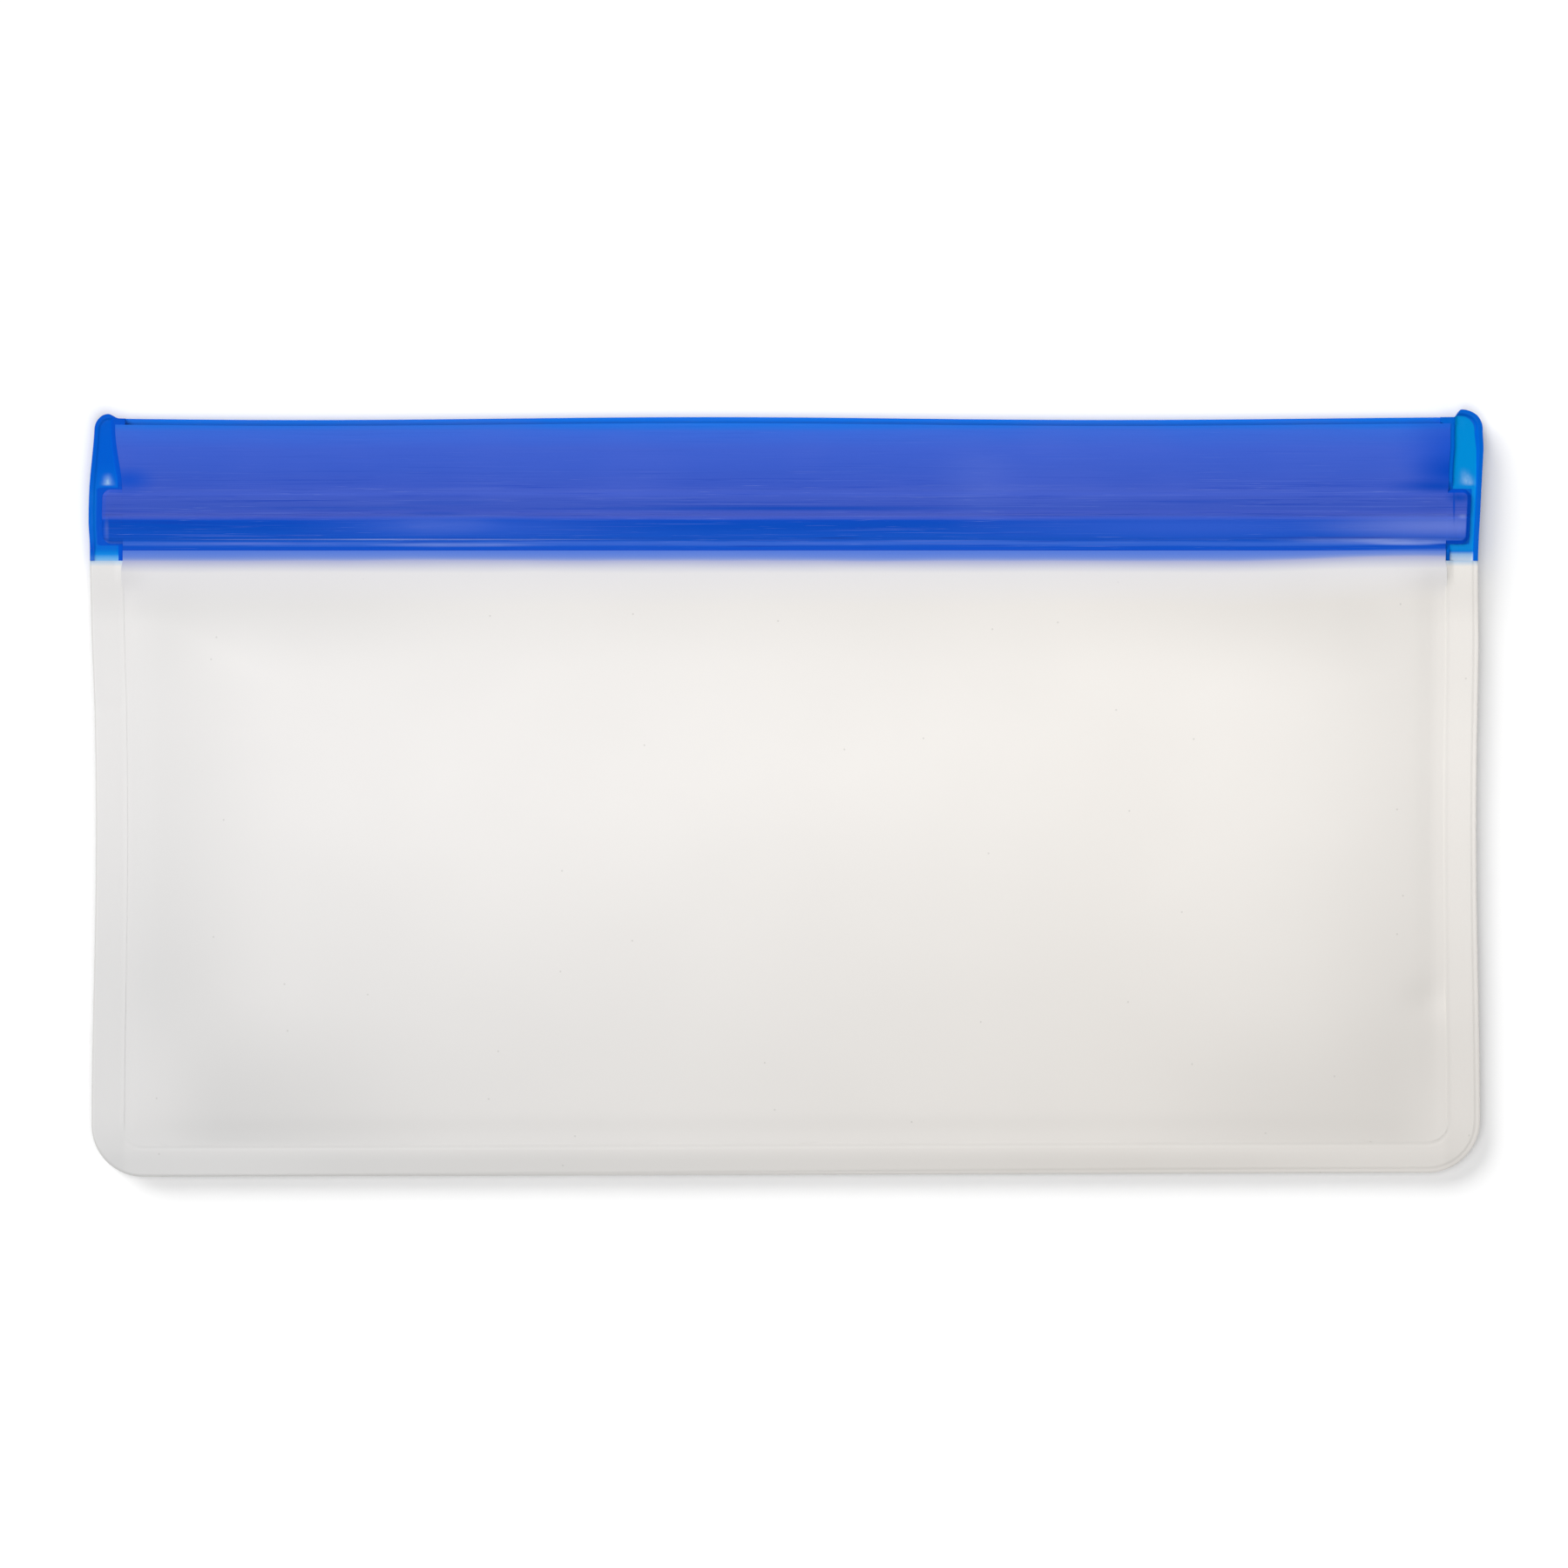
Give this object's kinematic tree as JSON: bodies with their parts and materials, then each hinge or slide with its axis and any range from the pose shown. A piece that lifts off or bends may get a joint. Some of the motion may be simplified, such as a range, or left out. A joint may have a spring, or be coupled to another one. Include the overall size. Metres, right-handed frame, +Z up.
{
  "type": "zip-top storage bag",
  "caption": "Flat reusable food bag of frosted film, welded at the sides and bottom, with a wide blue press-to-close zip band across its mouth.",
  "frame": {"origin": "centre of the footprint of the bag as it lies flat on its rear film, at the height of the surface it lies on", "axes": "+X along the mouth, from the left side weld to the right one, +Y from the bottom weld towards the mouth, +Z up out of the front film"},
  "size_m": [0.22, 0.1212, 0.0061],
  "materials": {
    "frosted_film": "frosted",
    "frosted_weld": "frosted",
    "blue_tape": "satin",
    "blue_track": "satin",
    "clear_blue_weld": "gloss"
  },
  "bodies": {
    "rear_wall": {"rear_film": "frosted_film", "left_side_weld": "frosted_weld", "right_side_weld": "frosted_weld", "bottom_weld": "frosted_weld", "rear_zip_tape": "blue_tape", "rear_upper_rib": "blue_track", "rear_lower_rib": "blue_track", "left_end_weld": "clear_blue_weld", "right_end_weld": "clear_blue_weld", "left_track_stop": "blue_track", "right_track_stop": "blue_track"},
    "front_wall": {"front_film": "frosted_film", "front_zip_tape": "blue_tape", "front_upper_channel": "blue_track", "front_lower_channel": "blue_track"}
  },
  "joints": [
    {"name": "mouth_open", "type": "hinge", "parent": "rear_wall", "child": "front_wall", "pos_m": [0, -0.0554, 0.00305], "axis": [1, 0, 0], "range_deg": [0, 25], "deforming": ["front_upper_channel", "front_lower_channel"]}
  ]
}
